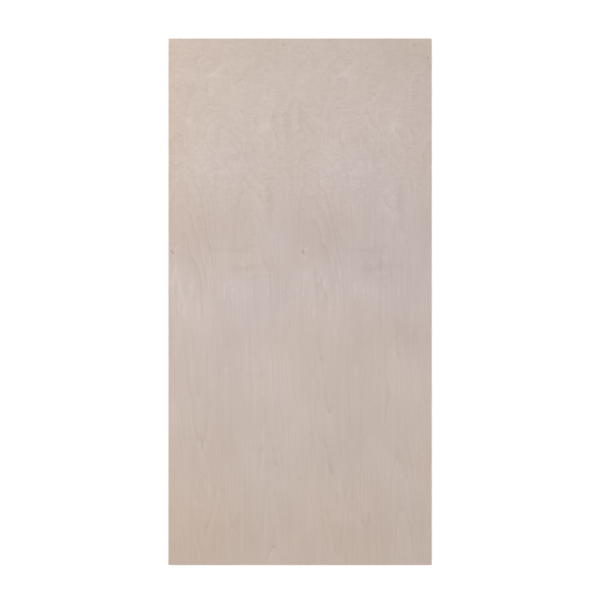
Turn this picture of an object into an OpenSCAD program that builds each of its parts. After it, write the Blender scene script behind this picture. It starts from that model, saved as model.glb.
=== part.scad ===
// Plywood sheet: thin wood veneers glued crosswise into one flat panel, then
// sawn square and sanded. Once pressed it is one piece of stock, so it is one
// solid. The origin is the centre of the back face, where the sheet rests.
// +Y runs along the face grain and +Z points out of the face. Millimetres.

/* [Sheet] */
// Length of the sheet, along the face grain
sheet_length = 2440; // [600:10:3660]
// Width of the sheet, across the face grain
sheet_width = 1220; // [300:10:1830]
// Thickness of the sanded sheet
sheet_thickness = 18; // [3:0.5:40]

/* [Edges] */
// Width of the flat that handling rubs onto the arris between face and edge
face_arris = 0.5; // [0.1:0.05:1]
// Width of the flat that handling rubs onto the upright arris at each corner
corner_arris = 1; // [0.1:0.1:10]

/* [Hidden] */
birch = [0.78, 0.725, 0.69];
// Length of each outline past the solid that it cuts, so no faces coincide
cut_margin = 5;

// A rectangle about the origin with its four corners cut off at 45 degrees.
module cut_corner_rectangle(width, height, corner) {
    half_width = width / 2;
    half_height = height / 2;
    polygon([
        [corner - half_width, -half_height],
        [half_width - corner, -half_height],
        [half_width, corner - half_height],
        [half_width, half_height - corner],
        [half_width - corner, half_height],
        [corner - half_width, half_height],
        [-half_width, half_height - corner],
        [-half_width, corner - half_height],
    ]);
}

// The sheet's outline seen on its face, run through its thickness.
module sheet_outline() {
    linear_extrude(sheet_thickness)
        cut_corner_rectangle(sheet_width, sheet_length, corner_arris);
}

// The section seen from an end of the sheet, run through a length along Z.
module edge_section(width, run) {
    linear_extrude(run, center = true)
        cut_corner_rectangle(width, sheet_thickness, face_arris);
}

// The outline and both sections share the solid, which rubs off every arris.
module plywood_sheet() {
    color(birch)
        intersection() {
            sheet_outline();
            translate([0, 0, sheet_thickness / 2])
                rotate([90, 0, 0])
                    edge_section(sheet_width, sheet_length + 2 * cut_margin);
            translate([0, 0, sheet_thickness / 2])
                rotate([90, 0, 90])
                    edge_section(sheet_length, sheet_width + 2 * cut_margin);
        }
}

plywood_sheet();
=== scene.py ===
# %% [markdown]
# # A full sheet of birch plywood
# Birch plywood is thirteen thin veneers glued crosswise, hot pressed into one board, sawn square and sanded.
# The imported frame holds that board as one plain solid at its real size. This lesson makes the board that is
# looked at: the plies and glue lines on its sawn edges, the rubbed arrises, the pin knots, and a face veneer
# whose figure is worked out the way it really arises, by peeling a log.
# Everything is in metres. +Y runs along the face grain, +Z points out of the face, and z = 0 is the floor.

# %% Load the frame and measure the sheet
import math

import bpy
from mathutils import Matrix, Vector


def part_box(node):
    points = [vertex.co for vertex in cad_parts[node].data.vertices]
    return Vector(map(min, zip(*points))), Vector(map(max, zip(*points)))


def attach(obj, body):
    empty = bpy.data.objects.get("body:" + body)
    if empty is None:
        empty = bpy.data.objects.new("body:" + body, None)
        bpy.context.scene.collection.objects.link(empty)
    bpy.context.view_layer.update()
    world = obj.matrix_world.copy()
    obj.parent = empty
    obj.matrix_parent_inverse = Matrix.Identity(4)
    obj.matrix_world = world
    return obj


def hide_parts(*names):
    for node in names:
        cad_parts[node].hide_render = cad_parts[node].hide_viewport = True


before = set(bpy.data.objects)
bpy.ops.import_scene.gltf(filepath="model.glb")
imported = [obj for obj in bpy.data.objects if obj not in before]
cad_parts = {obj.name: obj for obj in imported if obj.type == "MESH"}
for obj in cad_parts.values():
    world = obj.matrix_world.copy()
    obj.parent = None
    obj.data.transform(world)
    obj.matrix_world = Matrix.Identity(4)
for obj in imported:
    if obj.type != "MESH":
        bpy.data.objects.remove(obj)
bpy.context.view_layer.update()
sheet_low, sheet_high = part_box("plywood_sheet")
sheet_width, sheet_length, sheet_thickness = sheet_high - sheet_low
MM = 0.001
print(f"sheet: {sheet_width / MM:.0f} x {sheet_length / MM:.0f} x {sheet_thickness / MM:.1f} mm")

# %% [markdown]
# ## The camera
# The sheet is shown square on, so the camera hangs over its middle and looks straight down, with the head of
# the sheet at the top of the picture. A short lens would splay the edges, so a long one hangs high up.
# The height follows from the lens: the sheet's length takes up a fixed share of the square frame.

# %% Hang the camera over the sheet
LENS_MM = 100
SENSOR_MM = 36
LENGTH_SHARE = 0.878
RAISED = 8.0 * MM  # the middle of the view lies this far up the sheet from its own middle

view_side = sheet_length / LENGTH_SHARE
camera_height = view_side * LENS_MM / SENSOR_MM
camera_data = bpy.data.cameras.new("overhead_camera")
camera_data.lens = LENS_MM
camera_data.sensor_width = SENSOR_MM
camera_data.clip_end = 200
camera = bpy.data.objects.new("overhead_camera", camera_data)
camera.location = (0, RAISED, sheet_thickness + camera_height)
bpy.context.scene.collection.objects.link(camera)
bpy.context.scene.camera = camera
print(f"camera {camera_height:.2f} m above the face, seeing {view_side:.3f} m of floor")

# %% [markdown]
# ## The floor and the light
# A pale wood face shows its figure only under soft, even light, so most of the light comes from a white sky.
# A large warm softbox on the left makes that side a little lighter than the right. A long cool strip hangs
# across the sheet just above its middle: the satin face mirrors it as a broad bluish band, the way a sheet
# lying under a window does. None of the lights is seen by the camera. The floor is a sheet of white acrylic
# lit faintly from below, the catalogue maker's way to keep a dark rim of shadow off the sawn edges.

# %% Lay the floor
FLOOR_SIDE = 80
FLOOR_GAP = 0.2 * MM  # under the sheet, so that the two surfaces never coincide
FLOOR_WHITE = (0.97, 0.97, 0.97, 1)
FLOOR_GLOW = 0.20

bpy.ops.object.select_all(action="DESELECT")
bpy.ops.mesh.primitive_plane_add(size=FLOOR_SIDE, location=(0, 0, -FLOOR_GAP))
floor = bpy.context.object
floor.name = "studio_floor"
floor_paint = bpy.data.materials.new("floor_paint")
floor_paint.use_nodes = True
floor_shader = floor_paint.node_tree.nodes["Principled BSDF"]
floor_shader.inputs["Base Color"].default_value = FLOOR_WHITE
floor_shader.inputs["Roughness"].default_value = 0.9
floor_shader.inputs["Specular IOR Level"].default_value = 0.1
floor_shader.inputs["Emission Color"].default_value = FLOOR_WHITE
floor_shader.inputs["Emission Strength"].default_value = FLOOR_GLOW
floor.data.materials.append(floor_paint)

# %% Light the sky
SKY_COLOUR = (0.96, 1.0, 1.02, 1)
SKY_STRENGTH = 1.045

sky = bpy.data.worlds.new("studio_sky")
sky.use_nodes = True
sky.node_tree.nodes["Background"].inputs["Color"].default_value = SKY_COLOUR
sky.node_tree.nodes["Background"].inputs["Strength"].default_value = SKY_STRENGTH
bpy.context.scene.world = sky
bpy.context.scene.view_settings.view_transform = "Standard"


# %% Hang the softboxes
def softbox(name, place, target, size, watts, colour, turn=0.0):
    """A rectangular light at place that shines at target, turned about the line between them."""
    light = bpy.data.lights.new(name, "AREA")
    light.shape = "RECTANGLE"
    light.size, light.size_y = size
    light.energy = watts
    light.color = colour
    lamp = bpy.data.objects.new(name, light)
    lamp.location = place
    aim = (Vector(target) - Vector(place)).to_track_quat("-Z", "Y")
    lamp.rotation_euler = aim.to_euler()
    lamp.rotation_euler.rotate_axis("Z", turn)
    lamp.visible_camera = False
    bpy.context.scene.collection.objects.link(lamp)


softbox("left_softbox", (-2.2, 1.35, 3.6), (0, 0, 0), (2.4, 2.4), 68, (1.0, 0.88, 0.62))
softbox("cool_strip", (0.0, 0.10, 1.3), (0.0, 0.10, 0), (2.4, 0.4), 2.6, (0.10, 0.25, 1.0), math.radians(12))

# %% [markdown]
# ## The board
# A press lays veneers one on another, and the modelling does the same. A flat grid is added at the size of
# the back face, its corners are cut, and its whole region is then extruded upwards once for each ply and
# twice for each glue line. Between extrusions the outline is resized, which gives the sides their relief:
# the arrises that handling rubs off, a fine groove at every glue line, and plies whose end grain the saw
# tears a hair deeper than their neighbours' long grain.
# A grid and not a plain box, because the two faces need points of their own further on.

# %% Sizes of the veneers
PLY_COUNT = 13
FACE_PLY = 1.15 * MM  # sanding takes some of it away
GLUE_LINE = 0.10 * MM
GLUE_GROOVE = 0.07 * MM
END_GRAIN_TEAR = 0.05 * MM
FACE_ARRIS = 0.5 * MM
CORNER_ARRIS = 1.0 * MM
CELL = 20 * MM

core_ply = (sheet_thickness - 2 * FACE_PLY - (PLY_COUNT - 1) * GLUE_LINE) / (PLY_COUNT - 2)
ply_thickness = [FACE_PLY] + [core_ply] * (PLY_COUNT - 2) + [FACE_PLY]
ply_bottom = [sum(ply_thickness[:i]) + i * GLUE_LINE for i in range(PLY_COUNT)]
print(f"{PLY_COUNT} plies: faces {FACE_PLY / MM:.2f} mm, core plies {core_ply / MM:.3f} mm")


# %% Helpers for working in edit mode
def select_only(piece, kind, wanted):
    """In edit mode, selects the vertices, edges or faces that the test wants, and nothing else."""
    bpy.ops.mesh.select_all(action="DESELECT")
    bpy.ops.mesh.select_mode(type={"vertices": "VERT", "edges": "EDGE", "polygons": "FACE"}[kind])
    bpy.ops.object.mode_set(mode="OBJECT")
    parts = getattr(piece.data, kind)
    chosen = [part for part in parts if wanted(part)]
    for part in chosen:
        part.select = True
    bpy.ops.object.mode_set(mode="EDIT")
    return len(chosen)


def extrude_up(height):
    """Raises the selected region, walling it in behind itself."""
    bpy.ops.mesh.extrude_region_move(TRANSFORM_OT_translate={"value": (0, 0, height)})


def resize_outline(was, now):
    """Brings the selected level from one (width, length) to another, about the sheet's middle."""
    factors = (now[0] / was[0], now[1] / was[1], 1)
    bpy.ops.transform.resize(value=factors, center_override=(0, 0, 0))
    return now


# %% Cut the back face out of a grid
inset_outline = (sheet_width - 2 * FACE_ARRIS, sheet_length - 2 * FACE_ARRIS)
cells_across = round(sheet_width / CELL)
cells_along = round(sheet_length / CELL)
bpy.ops.object.select_all(action="DESELECT")
bpy.ops.mesh.primitive_grid_add(x_subdivisions=cells_across, y_subdivisions=cells_along, size=1)
board = bpy.context.object
board.name = "birch_plywood_board"
bpy.ops.object.mode_set(mode="EDIT")
bpy.ops.transform.resize(value=(*inset_outline, 1), center_override=(0, 0, 0))
corner_count = select_only(
    board, "vertices", lambda v: abs(v.co.x) + abs(v.co.y) > sum(inset_outline) / 2 - CELL / 2
)
bpy.ops.mesh.bevel(offset=CORNER_ARRIS, segments=1, affect="VERTICES")
print(f"grid of {cells_across} x {cells_along} cells, {corner_count} corners cut")


# %% Press the plies
def ply_outline(ply):
    """The (width, length) that the saw leaves a ply: its end grain stands back a hair."""
    if ply % 2 == 0:  # grain along the sheet, so its end grain shows on the two short ends
        return (sheet_width, sheet_length - 2 * END_GRAIN_TEAR)
    return (sheet_width - 2 * END_GRAIN_TEAR, sheet_length)


groove_outline = (sheet_width - 2 * GLUE_GROOVE, sheet_length - 2 * GLUE_GROOVE)
bpy.ops.mesh.select_all(action="SELECT")
outline = inset_outline
for ply, thickness in enumerate(ply_thickness):
    if ply == 0:
        extrude_up(FACE_ARRIS)
        outline = resize_outline(outline, ply_outline(ply))
        extrude_up(thickness - FACE_ARRIS)
    else:
        extrude_up(GLUE_LINE / 2)
        outline = resize_outline(outline, groove_outline)
        extrude_up(GLUE_LINE / 2)
        outline = resize_outline(outline, ply_outline(ply))
        extrude_up(thickness - FACE_ARRIS if ply == PLY_COUNT - 1 else thickness)
extrude_up(FACE_ARRIS)
outline = resize_outline(outline, inset_outline)
bpy.ops.mesh.select_all(action="SELECT")
bpy.ops.mesh.normals_make_consistent(inside=False)
bpy.ops.object.mode_set(mode="OBJECT")
print(f"pressed board: {len(board.data.polygons)} faces, {board.dimensions.z / MM:.3f} mm thick")

# %% [markdown]
# ## Doing sums on a surface
# A procedural material is a sum done at every point of the surface. In Blender each plus or times is a Math
# node, and a long formula becomes a long chain that is hard to read. The small class below writes the chain:
# arithmetic on a Signal adds the nodes, so that a formula in this script reads like a formula.

# %% Signals
def feed(socket, value):
    """Gives a node's input a plain value, or links a Signal to it."""
    if isinstance(value, Signal):
        value.socket.id_data.links.new(value.socket, socket)
    else:
        socket.default_value = value


class Signal:
    """A node's output. Arithmetic on it adds Math nodes to its tree."""

    def __init__(self, socket):
        self.socket = socket

    def node(self, kind, **settings):
        """A new node in the same tree, with these settings."""
        node = self.socket.id_data.nodes.new(kind)
        for setting, value in settings.items():
            setattr(node, setting, value)
        return node

    def math(self, operation, *values):
        """The result of a Math node fed with this signal and these values."""
        node = self.node("ShaderNodeMath", operation=operation)
        for socket, value in zip(node.inputs, (self, *values)):
            feed(socket, value)
        return Signal(node.outputs["Value"])

    def __add__(self, other):
        return self.math("ADD", other)

    def __sub__(self, other):
        return self.math("SUBTRACT", other)

    def __rsub__(self, other):
        return (self * -1) + other

    def __mul__(self, other):
        return self.math("MULTIPLY", other)

    def __truediv__(self, other):
        return self.math("DIVIDE", other)

    def __pow__(self, other):
        return self.math("POWER", other)

    __radd__ = __add__
    __rmul__ = __mul__

    def rise(self, low, high):
        """0 below low and 1 above high, with a smooth rise between them; low may be the larger."""
        node = self.node("ShaderNodeMapRange", interpolation_type="SMOOTHSTEP")
        for name, value in (("Value", self), ("From Min", low), ("From Max", high)):
            feed(node.inputs[name], value)
        return Signal(node.outputs["Result"])


# %% Noise and colour
def cloud(place, lump, detail=2.0, roughness=0.5):
    """Soft noise from -1 to 1 over a place (x, y, z), in lumps of the given length along each axis."""
    point = place[0].node("ShaderNodeCombineXYZ")
    for socket, distance, length in zip(point.inputs, place, lump):
        feed(socket, distance / length)
    noise = place[0].node("ShaderNodeTexNoise", noise_dimensions="3D")
    noise.inputs["Scale"].default_value = 1.0
    noise.inputs["Detail"].default_value = detail
    noise.inputs["Roughness"].default_value = roughness
    feed(noise.inputs["Vector"], Signal(point.outputs["Vector"]))
    return Signal(noise.outputs["Fac"]) * 2 - 1


def stain(colour, dye, amount, blend="MIX"):
    """Lays a dye over a colour, as strongly as amount says at each point."""
    mix = amount.node("ShaderNodeMix", data_type="RGBA", blend_type=blend)
    mix.clamp_factor = True
    factor, first, second = (mix.inputs[i] for i in (0, 6, 7))
    feed(factor, amount)
    feed(first, colour if isinstance(colour, Signal) else (*colour, 1))
    feed(second, (*dye, 1))
    return Signal(mix.outputs[2])


def start_finish(name):
    """A new material, its shader, and the Object coordinates x, y and z of the surface."""
    finish = bpy.data.materials.new(name)
    finish.use_nodes = True
    nodes = finish.node_tree.nodes
    place = nodes.new("ShaderNodeTexCoord")
    parts = nodes.new("ShaderNodeSeparateXYZ")
    finish.node_tree.links.new(place.outputs["Object"], parts.inputs["Vector"])
    return finish, nodes["Principled BSDF"], [Signal(output) for output in parts.outputs]


def press_relief(shader, height):
    """Gives the shader a bump from a height in metres."""
    bump = height.node("ShaderNodeBump")
    bump.inputs["Strength"].default_value = 1.0
    bump.inputs["Distance"].default_value = 1.0
    feed(bump.inputs["Height"], height)
    feed(shader.inputs["Normal"], Signal(bump.outputs["Normal"]))


# %% [markdown]
# ## Where the figure comes from
# A face veneer is peeled: the log turns against a long knife, which unrolls it like paper. A place x across
# the sheet was therefore an angle x / radius round the log, so the figure repeats each time the log has gone
# round once, and drifts as the knife goes deeper by one veneer a turn.
# A growth ring is a sheath round the log, not quite round and not quite straight. The knife cuts each ring
# where its own radius meets that sheath, so the lines on the sheet are the contour lines of how far the
# sheath stands out from a true cylinder. A log whose heart is off centre gives long tongues. A bow in the
# log closes them into long lenses, and a swelling over a dead branch gives ovals.
# Working out that height, counting it in rings, and drawing a line at each whole number gives all of these
# shapes at once, with their repeat. An image of the wood could not be looked at from as near.

# %% The log that the face was peeled from
TURN = 605 * MM  # once round the log, which is the repeat across the sheet
LOG_RADIUS = TURN / math.tau
VENEER = 1.4 * MM
RING = 2.4 * MM


def peel(x, y, up_the_log):
    """The angle round the log at which each point lay, and where in the log it lay."""
    angle = x / LOG_RADIUS
    knife = LOG_RADIUS - angle * (VENEER / math.tau)
    return angle, (knife * angle.math("COSINE"), knife * angle.math("SINE"), y + up_the_log)


def mark(x, y, spot, reach, tilt=0.0, turns=True):
    """A smooth hill of height 1 about a spot (mm), with a reach (mm) across and along it, tilted in degrees.

    The log meets it again at each turn, unless turns is False."""
    across = x - spot[0] * MM
    if turns:
        across = across.math("WRAP", -TURN / 2, TURN / 2)
    along = y - spot[1] * MM
    cosine = math.cos(math.radians(tilt))
    sine = math.sin(math.radians(tilt))
    first = (across * cosine + along * sine) / (reach[0] * MM)
    second = (along * cosine - across * sine) / (reach[1] * MM)
    return (first * first + second * second).math("MULTIPLY", -1).math("EXPONENT")


# %% [markdown]
# ### The shape of the rings
# The sheath's height is a sum of plain shapes. The heart lies off centre, on a side that wanders up the log,
# which gives one tongue a turn. The log bows towards its foot and straightens towards its head, which closes
# the tongue at both ends. Swellings and hollows over old branches are smooth hills, placed in
# millimetres. Noise in the log's own space makes the lines wander, ripple and shiver.

# %% Swellings and the ring count
# Place across and along the sheet, reach across and along, and height, all in millimetres
SWELLINGS = (
    (212, 758, 95, 115, 13.0),
    (212, 758, 50, 62, -4.5),
    (-150, 430, 15, 150, 4.5),
    (-185, 960, 60, 70, 6.0),
    (258, -318, 20, 44, 5.0),
    (420, -330, 22, 40, 1.2),
    (165, -850, 26, 32, -5.5),
    (222, -900, 12, 46, 4.0),
    (300, -1015, 20, 38, -5.0),
    (-30, -705, 18, 30, 3.5),
)

# The heart of the log and its bow, with y measured in metres up the sheet
HEART_SIDE = 0.108  # across the sheet, the place that lay nearest the heart at mid-length
HEART_LEAN = 0.06  # how far that place shifts for each metre up the log
HEART_CURL = 0.05  # and how far more for each metre squared above the middle
OFF_CENTRE = 16.0 * MM
OFF_CENTRE_LOSS = 14.0 * MM  # how much truer the log runs at its head
BOW_TOP = 0.15  # the bow starts this far below the middle
BOW = 5 * MM  # for each metre squared below that
PHASE = 0.29  # where in its first ring the knife starts


def lumps(in_log, wide, long, detail, roughness=0.5):
    """Noise in the log's own space, in lumps so many millimetres wide and long."""
    return cloud(in_log, (wide * MM, wide * MM, long * MM), detail, roughness)


def count_rings(x, y, angle, in_log, swellings):
    """How many rings the knife has met at each point. Whole numbers are the ring lines."""
    above = y.math("MAXIMUM", 0.0)
    heart_side = (HEART_SIDE - HEART_LEAN * y - HEART_CURL * (above * above)) / LOG_RADIUS
    off_centre = OFF_CENTRE - y.rise(0.10, 1.00) * OFF_CENTRE_LOSS
    below = (y + BOW_TOP).math("SMOOTH_MIN", 0.0, 0.1)
    height = below * below * BOW - off_centre * (angle - heart_side).math("COSINE")
    for across, along, wide, long, high in swellings:
        height = height + mark(x, y, (across, along), (wide, long)) * (high * MM)
    burly = y.rise(0.25, 0.70)
    height = height + lumps(in_log, 110, 600, 1) * (2.4 * MM)
    height = height + lumps(in_log, 26, 150, 1) * (0.9 * MM)
    over_branch = mark(x, y, swellings[0][:2], swellings[0][2:4])
    turmoil = burly * (1 - over_branch * 0.9)
    height = height + lumps(in_log, 90, 95, 1) * (2.4 * MM) * turmoil
    height = height + lumps(in_log, 8, 20, 1) * (0.11 * MM)
    knife_sinks = angle * (VENEER / math.tau)
    return (height + knife_sinks) / RING + PHASE


# %% [markdown]
# ## The face veneer
# Birch is nearly white, and everything on it is faint. Four things are laid over the pale wood, from large to
# small: slow drifts where it has yellowed, the ring lines, cross figure where the fibres ripple, and the
# fibres and vessels themselves, which only show close to. The pin knots come last. Painted light is mixed
# into them: pale bluish pools and bright glints where the cool sheen lies across the middle, and a warmer
# foot and warmer long edges, partly the wood's own yellowing and partly painted light.
# The fibres also steer the gloss. Sanded birch is satin, and where fibres dive in or out of the surface it
# turns lighter or darker, so the same signals feed the roughness and a very slight relief. The bright curl
# marks also lighten the colour, partly as real figure and partly as painted glints.
# What is special to one veneer is given in lists of soft marks. Each row holds the place across and
# along the sheet and the reach across and along in millimetres, the tilt in degrees, and the strength. The
# log meets a mark again at each turn, unless the row ends in False.

# %% Bright curl figure with painted glints, and dark bars across the grain
# From about 80 mm below the middle of the sheet to 160 mm above it, these marks are painted glints where the
# cool sheen lies; the others are bright curl figure.
CURLS_AND_GLINTS = (
    (-395, 1062, 48, 9, 38, 1.0),
    (-375, 1040, 50, 7, -8, 0.8),
    (85, 838, 34, 10, -36, 0.8),
    (110, 812, 16, 8, 20, 0.5),
    (-172, 808, 34, 26, 30, 0.5),
    (-345, 700, 60, 9, 8, 0.5),
    (-300, 640, 70, 8, -6, 0.5),
    (-350, 600, 60, 8, 10, 0.4),
    (34, 248, 16, 5, 42, 1.6),
    (-2, 250, 8, 5, -60, 0.8),
    (24, 206, 6, 12, 20, 0.8),
    (28, 120, 10, 22, 0, 0.5),
    (65, -52, 7, 30, 0, 1.0),
    (42, -20, 6, 20, 0, 0.6),
    (-500, 82, 11, 36, 0, 0.8),
    (-545, 10, 8, 36, 8, 0.8, False),
    (-470, -40, 7, 40, 0, 0.6),
    (-575, 148, 6, 24, 0, 1.0, False),
    (-592, 95, 7, 26, -10, 1.0, False),
    (-558, 70, 5, 36, 6, 1.1, False),
    (-528, -40, 7, 44, 0, 1.0, False),
    (185, -868, 6, 24, 0, 0.7),
    (227, -890, 5, 28, 0, 0.6),
    (-422, 130, 7, 34, 0, 0.9),
    (-350, 52, 7, 26, 0, 0.7),
    (-312, 44, 6, 30, 0, 0.7),
    (-146, 45, 7, 26, 0, 0.9),
    (-345, -320, 10, 34, 0, 0.8),
    (-440, -860, 14, 22, 0, 0.6),
    (-385, -1000, 46, 34, 0, 0.5),
    (100, 30, 10, 24, -20, 0.5),
)
# Bars first, then dark strokes along the grain, then broad soft shades. A negative strength lightens.
CROSS_BARS = (
    (-350, 240, 64, 9, -3, 0.8),
    (-255, 234, 52, 10, 5, 0.7),
    (-215, 166, 74, 10, 3, 0.9),
    (-265, 150, 60, 12, -3, 0.9),
    (-240, 258, 40, 9, 14, 0.7),
    (-215, 112, 60, 11, 6, 0.6),
    (-330, 104, 40, 10, -8, 0.4),
    (-190, 940, 26, 16, -30, 0.6),
    (-140, 452, 17, 105, 0, 1.5),
    (162, -872, 5, 26, 8, 1.0),
    (210, -888, 5, 42, 0, 1.2),
    (243, -880, 5, 30, -6, 0.9),
    (262, -932, 5, 40, 0, 0.9),
    (292, -1018, 6, 34, 14, 1.2),
    (316, -1005, 6, 26, -14, 0.9),
    (0, 330, 2000, 240, 0, 0.9, False),
    (0, -440, 2000, 170, 0, -0.3, False),
    (0, -1100, 2000, 150, 0, 0.3, False),
    (500, 1120, 200, 130, 0, 0.4, False),
    (120, 330, 80, 120, 0, 0.7, False),
    (345, 175, 110, 80, 0, 0.9, False),
    (500, -170, 90, 90, 0, 0.9, False),
    (-470, 360, 70, 130, 0, 0.7, False),
)

# %% Where the fibres are tangled
TANGLES = (
    (-345, 600, 150, 100, -10, 1.0),
    (-450, 1090, 90, 50, 0, 0.8),
    (-170, 808, 42, 30, 20, 1.0),
    (50, 315, 26, 50, 20, 0.7),
    (-130, 290, 26, 30, 0, 0.7),
    (20, 120, 34, 34, 0, 0.7),
    (-340, 60, 60, 60, 0, 0.8),
)

# %% Where the cool sheen is painted in as paler, bluer pools, and where the wood yellowed
PAINTED_SHEEN_POOLS = (
    (205, 600, 120, 85, -25, 0.9, False),
    (390, 400, 110, 130, 0, 0.5, False),
    (-235, 20, 150, 110, 0, 1.0, False),
    (-560, 80, 60, 120, 0, 0.5, False),
    (480, 40, 110, 140, 0, 0.7, False),
    (-140, 300, 70, 110, 0, 0.5, False),
    (330, 180, 160, 130, 0, 0.4, False),
    (-300, -280, 170, 130, 0, 0.4, False),
    (-340, 640, 120, 80, 0, 0.4, False),
)
YELLOW_PATCHES = (
    (-520, -1050, 230, 260, 20, 1.0, False),
    (60, -1100, 420, 200, 0, 0.5, False),
    (260, -900, 120, 90, 0, 0.3, False),
    (-600, 950, 90, 260, 0, 0.4, False),
    (580, -740, 60, 110, 0, 0.5, False),
    (540, 1170, 90, 60, 0, 0.6, False),
    (-560, 380, 90, 160, 0, 0.3, False),
)

# %% The pin knots
PIN_KNOTS = (
    (14, 230, 11, 4.0, -50, 0.50, True),
    (-77, 1188, 3, 6.0, 0, 0.40, True),
    (-119, -1136, 8, 4.0, -40, 0.42, False),
    (593, 1129, 4, 6.0, 0, 0.45, False),
    (0, -820, 4, 4.0, 0, 0.3, False),
)
BACK_KNOTS = (
    (-205, 610, 6, 9.0, 15, 0.7, True),
    (160, -380, 5, 7.0, -10, 0.6, True),
)


def sum_of_marks(x, y, marks):
    """All the marks of a list laid together, each as strong as its row says."""
    return sum(
        mark(x, y, (across, along), (wide, long), tilt, *turns) * strength
        for across, along, wide, long, tilt, strength, *turns in marks
    )


# %% Which marks lie on which face
FACE_MARKS = {
    "swellings": SWELLINGS,
    "curls_and_glints": CURLS_AND_GLINTS,
    "bars": CROSS_BARS,
    "tangles": TANGLES,
    "sheen_pools": PAINTED_SHEEN_POOLS,
    "yellow": YELLOW_PATCHES,
    "knots": PIN_KNOTS,
}
BACK_MARKS = {
    "swellings": SWELLINGS[:2],
    "curls_and_glints": (),
    "bars": (),
    "tangles": TANGLES[:1],
    "sheen_pools": (),
    "yellow": (),
    "knots": BACK_KNOTS,
}


# %% The ring lines
HARD_YEAR = -4  # the ring whose line is darker than the rest
HARD_YEAR_SHADE = 0.4
SHARP_LINE = 0.7
SOFT_LINE = 0.35
FAINTEST = 0.2  # what is left of a line where it is least bold
BRANCH_BOLDNESS = 0.5  # the least boldness in the belt where the branches were
HEAD_FADE = 0.6  # how much of the boldness is lost towards the head


def ring_lines(y, in_log, burly, rings):
    """The dark line that ends each ring, and the paler wood that starts the next."""
    part = rings.math("FRACT")
    hard_year = rings.math("FLOOR").math("COMPARE", HARD_YEAR, 0.5)
    hard_year = hard_year * y.rise(-0.85, -0.45) * y.rise(0.70, 0.40)
    boldness = lumps(in_log, 70, 240, 1).rise(-0.4, 0.6)
    near_branch = burly * y.rise(1.12, 0.85)
    boldness = boldness.math("MAXIMUM", near_branch * BRANCH_BOLDNESS)
    boldness = boldness * (1 - y.rise(0.90, 1.15) * HEAD_FADE)
    line = part ** 14 * SHARP_LINE + part ** 5 * SOFT_LINE * (1 - burly * 0.4)
    late_wood = line * (boldness * (1 - FAINTEST) + FAINTEST) + part ** 4 * hard_year * HARD_YEAR_SHADE
    early_wood = (1 - part) ** 4 * boldness
    return late_wood, early_wood


# %% The cross figure
RIPPLE_SHADE = 0.165
BAR_SHADE = 0.10
FLECK_AND_GLINT_LIGHT = 0.34
TANGLE_LIGHT = 0.15


def cross_figure(x, y, in_log, burly, marks):
    """How much darker the rippling of the fibres makes each point, in ripples, curl figure, bars and flecks,
    some of them painted glints.
    """
    bent_x = x + lumps(in_log, 30, 40, 1) * (9 * MM)
    bent_y = y + lumps(in_log, 50, 30, 1) * (20 * MM)
    flare_and_glint = sum_of_marks(bent_x, bent_y, marks["curls_and_glints"])
    bars = sum_of_marks(bent_x, bent_y, marks["bars"])
    fleck = lumps((*in_log[:2], bent_y), 8, 30, 2).rise(0.15, 0.60)
    # Painted glints: the flecks lighten the wood most in a band across the middle, where the cool sheen lies,
    # and over the burly belt as real fleck figure.
    glint_band_and_burl_belt = mark(x, bent_y, (0, 45), (2000, 150), 0, False) + burly * 0.35
    glint_band_and_burl_belt = glint_band_and_burl_belt * lumps(in_log, 55, 75, 1).rise(-0.15, 0.35)
    tangle = lumps(in_log, 13, 9, 1).rise(-0.1, 0.6)
    tangle = tangle * sum_of_marks(bent_x, bent_y, marks["tangles"])
    ripple = lumps(in_log, 28, 12, 2, 0.6) * (burly * 0.8 + 0.25)
    darker = ripple * RIPPLE_SHADE + bars * BAR_SHADE
    return darker - fleck * glint_band_and_burl_belt * FLECK_AND_GLINT_LIGHT - tangle * TANGLE_LIGHT, flare_and_glint


# %% The drifts of tone
DRIFT_SHADE = 0.12
PATCH_SHADE = 0.03
MOTTLE_SHADE = 0.035
BAND_SHADE = 0.07


def tone_drift(in_log, burly):
    """Soft lighter and darker areas, from broad drifts down to bands along the grain."""
    drift = lumps(in_log, 180, 330, 1)
    patch = lumps(in_log, 60, 110, 1)
    mottle = lumps(in_log, 26, 50, 2)
    band = lumps(in_log, 13, 300, 1) * (1 - burly * 0.6)
    return drift * DRIFT_SHADE + patch * PATCH_SHADE + mottle * MOTTLE_SHADE + band * BAND_SHADE


# %% The finish of a face
PALE_BIRCH = (0.575, 0.496, 0.470)
RING_BROWN = (0.349, 0.277, 0.243)
KNOT_BROWN = (0.15, 0.09, 0.06)
YELLOWING_AND_WARM_LIGHT = (1.0, 0.94, 0.85)

# How much each thing darkens (shade) or lightens (light) the wood, between pale birch at 0 and brown at 1
BASE_SHADE = 0.61
LATE_SHADE = 0.23
EARLY_LIGHT = 0.12
CURL_AND_GLINT_LIGHT = 0.14
STREAK_SHADE = 0.10
FIBRE_SHADE = 0.09
VESSEL_SHADE = 0.26

# How far the wood has yellowed, with painted light mixed in: a warm bounce at the foot, warmer long edges
# where the cool sheen fades, and the pale pools of the sheen
BASE_AGE = 0.46
HEAD_PALENESS_AND_FOOT_BOUNCE = 0.32
CLOUDY_AGE = 0.35
EDGE_AGE_AND_FADED_SHEEN = 0.15
EDGE_REACH = 60 * MM
SHEEN_POOL_PAINT = 0.55
YELLOW_PATCH = 0.6

FACE_ROUGHNESS = 0.50


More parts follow.
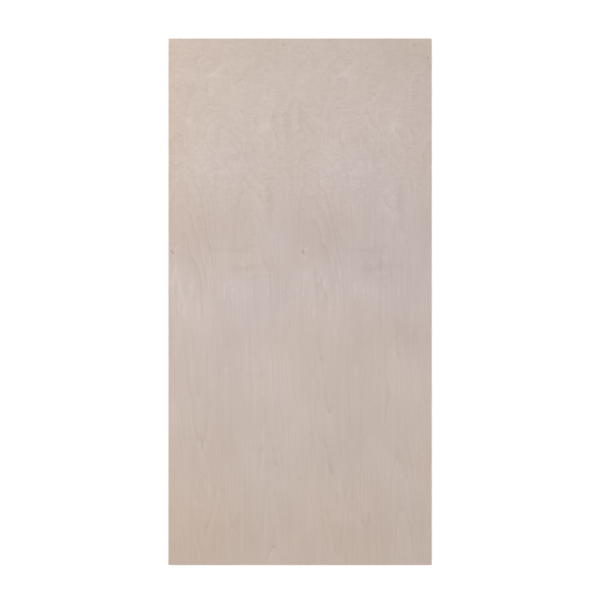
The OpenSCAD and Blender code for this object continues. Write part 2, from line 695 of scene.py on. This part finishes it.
def veneer_face(name, marks, up_the_log):
    """The finish of a peeled and sanded face, from a log cut so many metres up the trunk."""
    finish, shader, (x, y, z) = start_finish(name)
    angle, in_log = peel(x, y, up_the_log)
    burly = y.rise(0.25, 0.60)
    rings = count_rings(x, y, angle, in_log, marks["swellings"])
    late_wood, early_wood = ring_lines(y, in_log, burly, rings)
    figure, flare_and_glint = cross_figure(x, y, in_log, burly, marks)
    knots = sum_of_marks(x, y, marks["knots"])
    streak = lumps(in_log, 1.6, 90, 3)
    fibre = lumps(in_log, 0.35, 9, 2)
    vessel = lumps(in_log, 0.22, 2.6, 0).rise(0.45, 0.75)

    # Painted light: the curl marks lighten the colour, partly as real curl figure and partly as painted
    # glints.
    depth = BASE_SHADE + late_wood * LATE_SHADE - early_wood * EARLY_LIGHT + figure - flare_and_glint * CURL_AND_GLINT_LIGHT
    depth = depth + tone_drift(in_log, burly)
    depth = depth + streak * STREAK_SHADE + fibre * FIBRE_SHADE + vessel * VESSEL_SHADE
    colour = stain(PALE_BIRCH, RING_BROWN, depth)

    cloudy = cloud((x, y, z), (0.30, 0.45, 1.0), 2)
    # Partly painted light: the long edges are yellower, partly the wood's own yellowing and partly painted
    # where the cool sheen fades towards them.
    beside_edge = x.math("ABSOLUTE").rise(sheet_width / 2 - EDGE_REACH, sheet_width / 2)
    # Partly painted light: the head is paler and the foot more yellow, partly the wood's own yellowing and
    # partly a painted warm bounce at the foot.
    age_and_painted_light = BASE_AGE - y.rise(-0.6, 1.0) * HEAD_PALENESS_AND_FOOT_BOUNCE + cloudy * CLOUDY_AGE + beside_edge * EDGE_AGE_AND_FADED_SHEEN
    # Painted reflection: these pools of the cool sheen band across the middle are painted in as paler, less
    # yellowed wood.
    age_and_painted_light = age_and_painted_light - sum_of_marks(x, y, marks["sheen_pools"]) * SHEEN_POOL_PAINT
    age_and_painted_light = age_and_painted_light + sum_of_marks(x, y, marks["yellow"]) * YELLOW_PATCH
    colour = stain(colour, YELLOWING_AND_WARM_LIGHT, age_and_painted_light, "MULTIPLY")
    colour = stain(colour, KNOT_BROWN, knots)

    feed(shader.inputs["Base Color"], colour)
    shader.inputs["IOR"].default_value = 1.5
    feed(shader.inputs["Roughness"], FACE_ROUGHNESS + late_wood * 0.06 - flare_and_glint * 0.10 + fibre * 0.05)
    grain_height = fibre * (0.010 * MM) + streak * (0.012 * MM) - vessel * (0.02 * MM)
    press_relief(shader, grain_height)
    return finish


face_finish = veneer_face("sanded_birch_face", FACE_MARKS, 0)
BACK_UP_THE_LOG = 7  # metres, so that the back has a figure of its own
back_finish = veneer_face("sanded_birch_back", BACK_MARKS, BACK_UP_THE_LOG)
print(f"{face_finish.name}: {len(face_finish.node_tree.nodes)} nodes")

# %% [markdown]
# ## Press waves and knot dimples
# A pressed face is never perfectly flat. It keeps waves of a tenth of a millimetre or so, which only show
# where light skims it, and sanding leaves each pin knot in a small dimple, because the hard wood round it is
# sanded less. Both are shaped here as real relief. A dimple starts as a few cells divided finely, and a soft
# (proportional) pull on the vertex in the middle takes its neighbours along. The waves are a Displace
# modifier, held off at the edges by a vertex group and pushing only inwards, so the sheet keeps its size.

# %% Dimple the pin knots
DIMPLE_DEPTH = 0.15 * MM
DIMPLE_CUTS = 9
STRAIGHT_UP = 0.99  # the least upward part of the normal of a face that lies flat
finest = CELL / (DIMPLE_CUTS + 1)
patch_reach = 1.3 * CELL  # takes in the few cells round a knot
grab_reach = 0.75 * finest  # takes in the vertex nearest its middle


def knot_places(knots):
    """Where the knots of a list lie on the sheet, at each turn of the log, and their reach, in metres."""
    places = []
    for across, along, wide, long, _, _, turns in knots:
        for turn in (-1, 0, 1) if turns else (0,):
            x = across * MM + turn * TURN
            if abs(x) < sheet_width / 2:
                places.append((Vector((x, along * MM, sheet_thickness)), max(wide, long) * MM))
    return places


bpy.ops.object.mode_set(mode="EDIT")
for place, reach in knot_places(PIN_KNOTS):
    select_only(
        board, "polygons", lambda f: f.normal.z > STRAIGHT_UP and (f.center - place).length < patch_reach
    )
    bpy.ops.mesh.subdivide(number_cuts=DIMPLE_CUTS)
    pulled = select_only(board, "vertices", lambda v: (v.co - place).length < grab_reach)
    bpy.ops.transform.translate(
        value=(0, 0, -DIMPLE_DEPTH),
        use_proportional_edit=True,
        proportional_edit_falloff="SMOOTH",
        proportional_size=reach,
    )
    print(f"knot at {place.x / MM:.0f}, {place.y / MM:.0f} mm: {pulled} vertices pulled")
bpy.ops.object.mode_set(mode="OBJECT")

# %% Leave the press waves
WAVE_LENGTH = 0.35
WAVE_DEPTH = 0.15 * MM
FLAT_RIM = 5 * CELL

pressed = board.vertex_groups.new(name="pressed_face")
for vertex in board.data.vertices:
    to_edge = min(sheet_width / 2 - abs(vertex.co.x), sheet_length / 2 - abs(vertex.co.y))
    if vertex.co.z > sheet_thickness - FACE_ARRIS / 2:
        pressed.add([vertex.index], min(to_edge / FLAT_RIM, 1), "REPLACE")
press_waves = bpy.data.textures.new("press_waves", "CLOUDS")
press_waves.noise_scale = WAVE_LENGTH
waves = board.modifiers.new("press_waves", "DISPLACE")
waves.texture = press_waves
waves.direction = "Z"
waves.mid_level = 1.0
waves.strength = WAVE_DEPTH
waves.vertex_group = pressed.name
bpy.ops.object.modifier_apply(modifier=waves.name)
bpy.ops.object.shade_smooth_by_angle(angle=math.radians(25))
top_heights = [v.co.z for v in board.data.vertices if v.co.z > sheet_thickness - FACE_ARRIS / 2]
print(f"the face now lies between {min(top_heights) / MM:.3f} and {max(top_heights) / MM:.3f} mm")

# %% [markdown]
# ## The sawn edges
# A saw opens up every ply. Where its fibres run along the edge they show as pale streaks. Where they run into
# the edge their cut ends drink in light, so that ply looks a third darker, with open pores and the slanting
# checks that the peeling knife leaves. Neighbouring plies alternate, and where two meet the pressed resin
# shows as a thin brown line. Counted from 0 at the back, the odd plies are dark on the long sides, and the
# even ones on the short ends.
# Both finishes take the distance along the edge from x + y, since one of the two is constant on each side.

# %% Helpers for the edges
CORE_PITCH = core_ply + GLUE_LINE
LONG_GRAIN = (0.47, 0.375, 0.305)
LONG_GRAIN_DARK = (0.34, 0.25, 0.185)
END_GRAIN = (0.335, 0.245, 0.180)
END_GRAIN_DARK = (0.165, 0.108, 0.072)
GLUE_BROWN = (0.150, 0.088, 0.055)
GLUE_DARK = (0.070, 0.040, 0.026)
SAW_SLANT = 0.15  # how far the teeth lean, along for each metre up
CHECK_PITCH = 1.9 * MM  # from one knife check to the next
CHECK_SLANT = 2.4  # between the steepest left and the steepest right
SECOND_DRAW = 40  # added to a ply's number, for a chance apart from its first


def ply_number(z):
    """Which ply each point of an edge lies on, as a whole number that rises by one from ply to ply."""
    return ((z - FACE_PLY - GLUE_LINE / 2) / CORE_PITCH).math("FLOOR")


def chance(number):
    """A steady value between 0 and 1 for each whole number."""
    node = number.node("ShaderNodeTexWhiteNoise", noise_dimensions="1D")
    feed(node.inputs["W"], number)
    return Signal(node.outputs["Value"])


def saw_marks(along, z):
    """The fine ridges that the teeth leave across an edge, from -1 to 1."""
    return cloud((along + z * SAW_SLANT, z, 0.0), (0.9 * MM, 25 * MM, 1.0), 1)


# %% The finishes of the edges
def long_grain_edge(name):
    """A ply whose fibres run along the edge."""
    finish, shader, (x, y, z) = start_finish(name)
    along = x + y
    ply = ply_number(z)
    saw = saw_marks(along, z)
    streak = cloud((along, z, ply), (45 * MM, 0.22 * MM, 1.0), 3)
    smudge = cloud((along, z, 0.0), (160 * MM, 30 * MM, 1.0), 2)
    depth = 0.10 + chance(ply) * 0.45 + streak * 0.45 + smudge * 0.30 + saw * 0.10
    feed(shader.inputs["Base Color"], stain(LONG_GRAIN, LONG_GRAIN_DARK, depth))
    feed(shader.inputs["Roughness"], 0.60 + streak * 0.06 + saw * 0.05)
    press_relief(shader, saw * (0.020 * MM) + streak * (0.015 * MM))
    return finish


def end_grain_edge(name):
    """A ply whose fibres run into the edge, with its pores and knife checks."""
    finish, shader, (x, y, z) = start_finish(name)
    along = x + y
    ply = ply_number(z)
    saw = saw_marks(along, z)
    pore = cloud((along, z, ply), (0.20 * MM, 0.16 * MM, 1.0), 0).rise(0.20, 0.55)
    layer = cloud((along, z, ply), (60 * MM, 0.45 * MM, 1.0), 2)
    smudge = cloud((along, z, ply), (120 * MM, 30 * MM, 1.0), 2)
    wander = cloud((along, z, ply), (6 * MM, 3 * MM, 1.0), 1)
    slant = (chance(ply) - 0.5) * CHECK_SLANT
    check = ((along + z * slant) / CHECK_PITCH + wander * 0.8).math("FRACT") ** 9
    check = check * cloud((along, z, ply), (9 * MM, 4 * MM, 1.0), 1).rise(-0.3, 0.5)
    depth = 0.12 + chance(ply + SECOND_DRAW) * 0.30 + pore * 0.30 + check * 0.75 + layer * 0.35 + smudge * 0.30
    feed(shader.inputs["Base Color"], stain(END_GRAIN, END_GRAIN_DARK, depth))
    feed(shader.inputs["Roughness"], 0.72 + pore * 0.08 - saw * 0.05)
    press_relief(shader, saw * (0.020 * MM) - pore * (0.03 * MM) - check * (0.05 * MM))
    return finish


def glue_edge(name):
    """The resin between two plies, where the saw has polished it."""
    finish, shader, (x, y, z) = start_finish(name)
    bead = cloud((x + y, z, 0.0), (5 * MM, 0.3 * MM, 1.0), 3)
    feed(shader.inputs["Base Color"], stain(GLUE_BROWN, GLUE_DARK, bead * 0.5 + 0.4))
    feed(shader.inputs["Roughness"], 0.42 + bead * 0.12)
    press_relief(shader, bead * (0.02 * MM))
    return finish


# %% [markdown]
# ### Which face of the mesh takes which finish
# The mesh has one face for each layer and cell, so every finish is given out by place: the two broad faces
# with their arrises by the way they point, and the rest by the height and the side they are on.

# %% Give out the finishes
FACING = 0.5  # an arris leans 45 degrees, so it still counts as part of its broad face


def looks_out(face, axis):
    """Whether a face of the mesh points mainly along an axis, to either side."""
    return max(range(3), key=lambda i: abs(face.normal[i])) == axis


def layer_of(face):
    """The number of the ply that a face of the edge belongs to, or None on a glue line."""
    for ply in reversed(range(PLY_COUNT)):
        if face.center.z > ply_bottom[ply]:
            return ply if face.center.z < ply_bottom[ply] + ply_thickness[ply] else None


def on_face(face):
    """Whether it is part of the face, with its arrises."""
    return face.normal.z > FACING


def on_back(face):
    """Whether it is part of the back, with its arrises."""
    return face.normal.z < -FACING


def on_glue(face):
    """Whether it is part of a glue line."""
    return not on_face(face) and not on_back(face) and layer_of(face) is None


def on_end_grain(face):
    """Whether it is part of an edge into which the fibres of its ply run."""
    ply = layer_of(face)
    if on_face(face) or on_back(face) or ply is None:
        return False
    return looks_out(face, 1) if ply % 2 == 0 else looks_out(face, 0)


def on_long_grain(face):
    """Whether it is part of an edge along which the fibres of its ply run."""
    return not (on_face(face) or on_back(face) or on_glue(face) or on_end_grain(face))


finishes = (
    (face_finish, on_face),
    (back_finish, on_back),
    (long_grain_edge("sawn_long_grain"), on_long_grain),
    (end_grain_edge("sawn_end_grain"), on_end_grain),
    (glue_edge("pressed_resin"), on_glue),
)
bpy.ops.object.mode_set(mode="EDIT")
for slot, (finish, wanted) in enumerate(finishes):
    board.data.materials.append(finish)
    board.active_material_index = slot
    found = select_only(board, "polygons", wanted)
    bpy.ops.object.material_slot_assign()
    print(f"{finish.name}: {found} faces")
bpy.ops.object.mode_set(mode="OBJECT")

# %% [markdown]
# ## Lay the skin out flat
# When the board leaves Blender, its finishes are baked into pictures, and each face needs a place of its own
# on them. The layout is cut the way a carton is: six strips, one for each way that the board looks, stacked
# in one square. The face gets the tallest strip. Each strip is laid so that it isn't mirrored.

# %% Map the faces into strips
MAP_SIDE = 1024
MAP_GAP = 6
STRIPS = (  # the way it looks, the axes along and across it with the sign across, and its height on the map
    ((0, 0, 1), 1, 0, -1, 470),
    ((0, 0, -1), 1, 0, 1, 300),
    ((1, 0, 0), 1, 2, 1, 50),
    ((-1, 0, 0), 1, 2, -1, 50),
    ((0, 1, 0), 0, 2, -1, 50),
    ((0, -1, 0), 0, 2, 1, 50),
)

strip_foot = []
next_foot = MAP_GAP
for *_, height in STRIPS:
    strip_foot.append(next_foot)
    next_foot = next_foot + height + MAP_GAP


def on_map(point, strip):
    """Where a point of the board lies on the map, if it is on that strip."""
    _, along, across, sign, height = STRIPS[strip]
    size = sheet_high - sheet_low
    u = (point[along] - sheet_low[along]) / size[along]
    v = (point[across] - sheet_low[across]) / size[across]
    v = v if sign > 0 else 1 - v
    return (MAP_GAP + u * (MAP_SIDE - 2 * MAP_GAP)) / MAP_SIDE, (strip_foot[strip] + v * height) / MAP_SIDE


skin_map = board.data.uv_layers[0]
skin_map.name = "OFBake"
for face in board.data.polygons:
    strip = max(range(len(STRIPS)), key=lambda i: face.normal.dot(Vector(STRIPS[i][0])))
    for loop, corner in zip(face.loop_indices, face.vertices):
        skin_map.uv[loop].vector = on_map(board.data.vertices[corner].co, strip)
print(f"map: {len(STRIPS)} strips fill {next_foot} of {MAP_SIDE} rows")

# %% Finish
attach(board, "root")
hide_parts("plywood_sheet")
